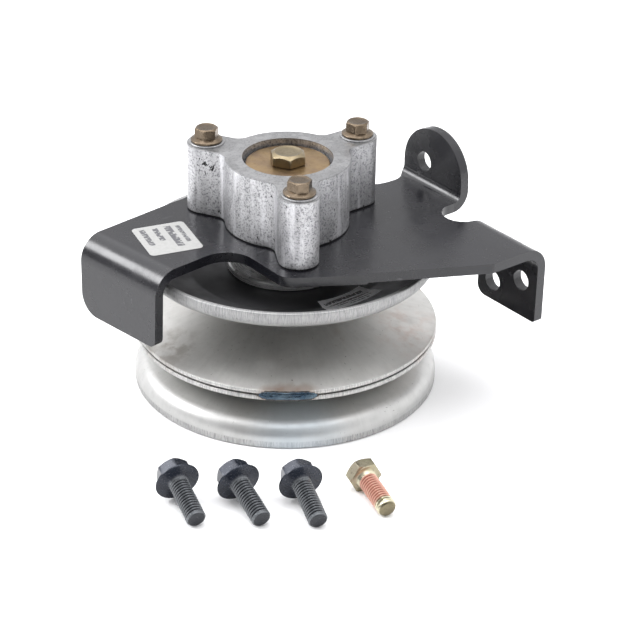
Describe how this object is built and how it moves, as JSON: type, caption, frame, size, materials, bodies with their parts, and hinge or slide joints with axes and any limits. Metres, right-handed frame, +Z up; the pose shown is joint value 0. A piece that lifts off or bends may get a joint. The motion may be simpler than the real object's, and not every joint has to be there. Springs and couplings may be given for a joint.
{
  "type": "variable speed pulley on bracket",
  "caption": "Double V-belt variable speed pulley: two fixed sheaves and a floating middle sheave turn on a spindle in a cast bearing housing bolted to a bent steel bracket.",
  "frame": {"origin": "on the spindle axis, on the lower end face of the shaft, which is level with the rim that the pulley stands on", "axes": "+Z up along the spindle axis, +X out of the outer face of the right-hand bracket flange"},
  "size_m": [0.1918, 0.1912, 0.1142],
  "materials": {
    "black_paint": "gloss",
    "cast_aluminium": "rough cast",
    "zinc_steel": "satin, pressed and zinc plated",
    "yellow_zinc": "yellow zinc plate on steel",
    "bearing_steel": "polished",
    "machined_steel": "turned",
    "seal_rubber": "matte",
    "bushing_bronze": "sintered bronze",
    "weld_steel": "heat tinted weld",
    "black_phosphate": "black phosphate on steel",
    "pale_zinc": "pale yellow zinc plate on steel",
    "label_paper": "printed vinyl",
    "label_foil": "metallised foil"
  },
  "bodies": {
    "bracket_assembly": {"bracket": "black_paint", "bearing_housing": "cast_aluminium", "housing_screw_1": "yellow_zinc", "housing_screw_2": "yellow_zinc", "housing_screw_3": "yellow_zinc", "upper_bearing_outer_ring": "bearing_steel", "lower_bearing_outer_ring": "bearing_steel", "upper_bearing_top_seal": "seal_rubber", "upper_bearing_bottom_seal": "seal_rubber", "lower_bearing_top_seal": "seal_rubber", "lower_bearing_bottom_seal": "seal_rubber", "plate_label": "label_paper"},
    "spindle": {"spindle_shaft": "machined_steel", "upper_hub": "machined_steel", "hub_sleeve": "machined_steel", "bearing_spacer": "machined_steel", "upper_bearing_inner_ring": "bearing_steel", "lower_bearing_inner_ring": "bearing_steel", "top_washer": "yellow_zinc", "top_bolt": "yellow_zinc", "lower_washer": "yellow_zinc", "lower_nut": "yellow_zinc", "upper_sheave": "zinc_steel", "lower_sheave": "zinc_steel", "pulley_label": "label_foil"},
    "middle_sheave": {"middle_sheave_upper_plate": "zinc_steel", "middle_sheave_lower_plate": "zinc_steel", "slider_bushing": "bushing_bronze", "weld_bead_1": "weld_steel", "weld_bead_2": "weld_steel", "weld_bead_3": "weld_steel"},
    "upper_cage": {"upper_bearing_cage": "machined_steel", "upper_bearing_ball_1": "bearing_steel", "upper_bearing_ball_2": "bearing_steel", "upper_bearing_ball_3": "bearing_steel", "upper_bearing_ball_4": "bearing_steel", "upper_bearing_ball_5": "bearing_steel", "upper_bearing_ball_6": "bearing_steel", "upper_bearing_ball_7": "bearing_steel", "upper_bearing_ball_8": "bearing_steel"},
    "lower_cage": {"lower_bearing_cage": "machined_steel", "lower_bearing_ball_1": "bearing_steel", "lower_bearing_ball_2": "bearing_steel", "lower_bearing_ball_3": "bearing_steel", "lower_bearing_ball_4": "bearing_steel", "lower_bearing_ball_5": "bearing_steel", "lower_bearing_ball_6": "bearing_steel", "lower_bearing_ball_7": "bearing_steel", "lower_bearing_ball_8": "bearing_steel"},
    "mounting_screw_1": {"mounting_screw_1": "black_phosphate"},
    "mounting_screw_2": {"mounting_screw_2": "black_phosphate"},
    "mounting_screw_3": {"mounting_screw_3": "black_phosphate"},
    "thread_locked_bolt": {"thread_locked_bolt": "pale_zinc"}
  },
  "joints": [
    {"name": "pulley_spin", "type": "hinge", "parent": "bracket_assembly", "child": "spindle", "pos_m": [0, 0, 0], "axis": [0, 0, 1], "continuous": true},
    {"name": "sheave_float", "type": "slide", "parent": "spindle", "child": "middle_sheave", "axis": [0, 0, 1], "range_m": [0, 0.011]},
    {"name": "upper_cage_spin", "type": "hinge", "parent": "bracket_assembly", "child": "upper_cage", "pos_m": [0, 0, 0.0952], "axis": [0, 0, 1], "continuous": true},
    {"name": "lower_cage_spin", "type": "hinge", "parent": "bracket_assembly", "child": "lower_cage", "pos_m": [0, 0, 0.077], "axis": [0, 0, 1], "continuous": true},
    {"name": "mounting_screw_1_lift", "type": "slide", "parent": "bracket_assembly", "child": "mounting_screw_1", "axis": [0, 0, 1], "range_m": [0, 0.05]},
    {"name": "mounting_screw_2_lift", "type": "slide", "parent": "bracket_assembly", "child": "mounting_screw_2", "axis": [0, 0, 1], "range_m": [0, 0.05]},
    {"name": "mounting_screw_3_lift", "type": "slide", "parent": "bracket_assembly", "child": "mounting_screw_3", "axis": [0, 0, 1], "range_m": [0, 0.05]},
    {"name": "thread_locked_bolt_lift", "type": "slide", "parent": "bracket_assembly", "child": "thread_locked_bolt", "axis": [0, 0, 1], "range_m": [0, 0.05]}
  ],
  "couplings": [
    {"joint": "upper_cage_spin", "follows": "pulley_spin", "ratio": 0.3816},
    {"joint": "lower_cage_spin", "follows": "pulley_spin", "ratio": 0.3816}
  ]
}
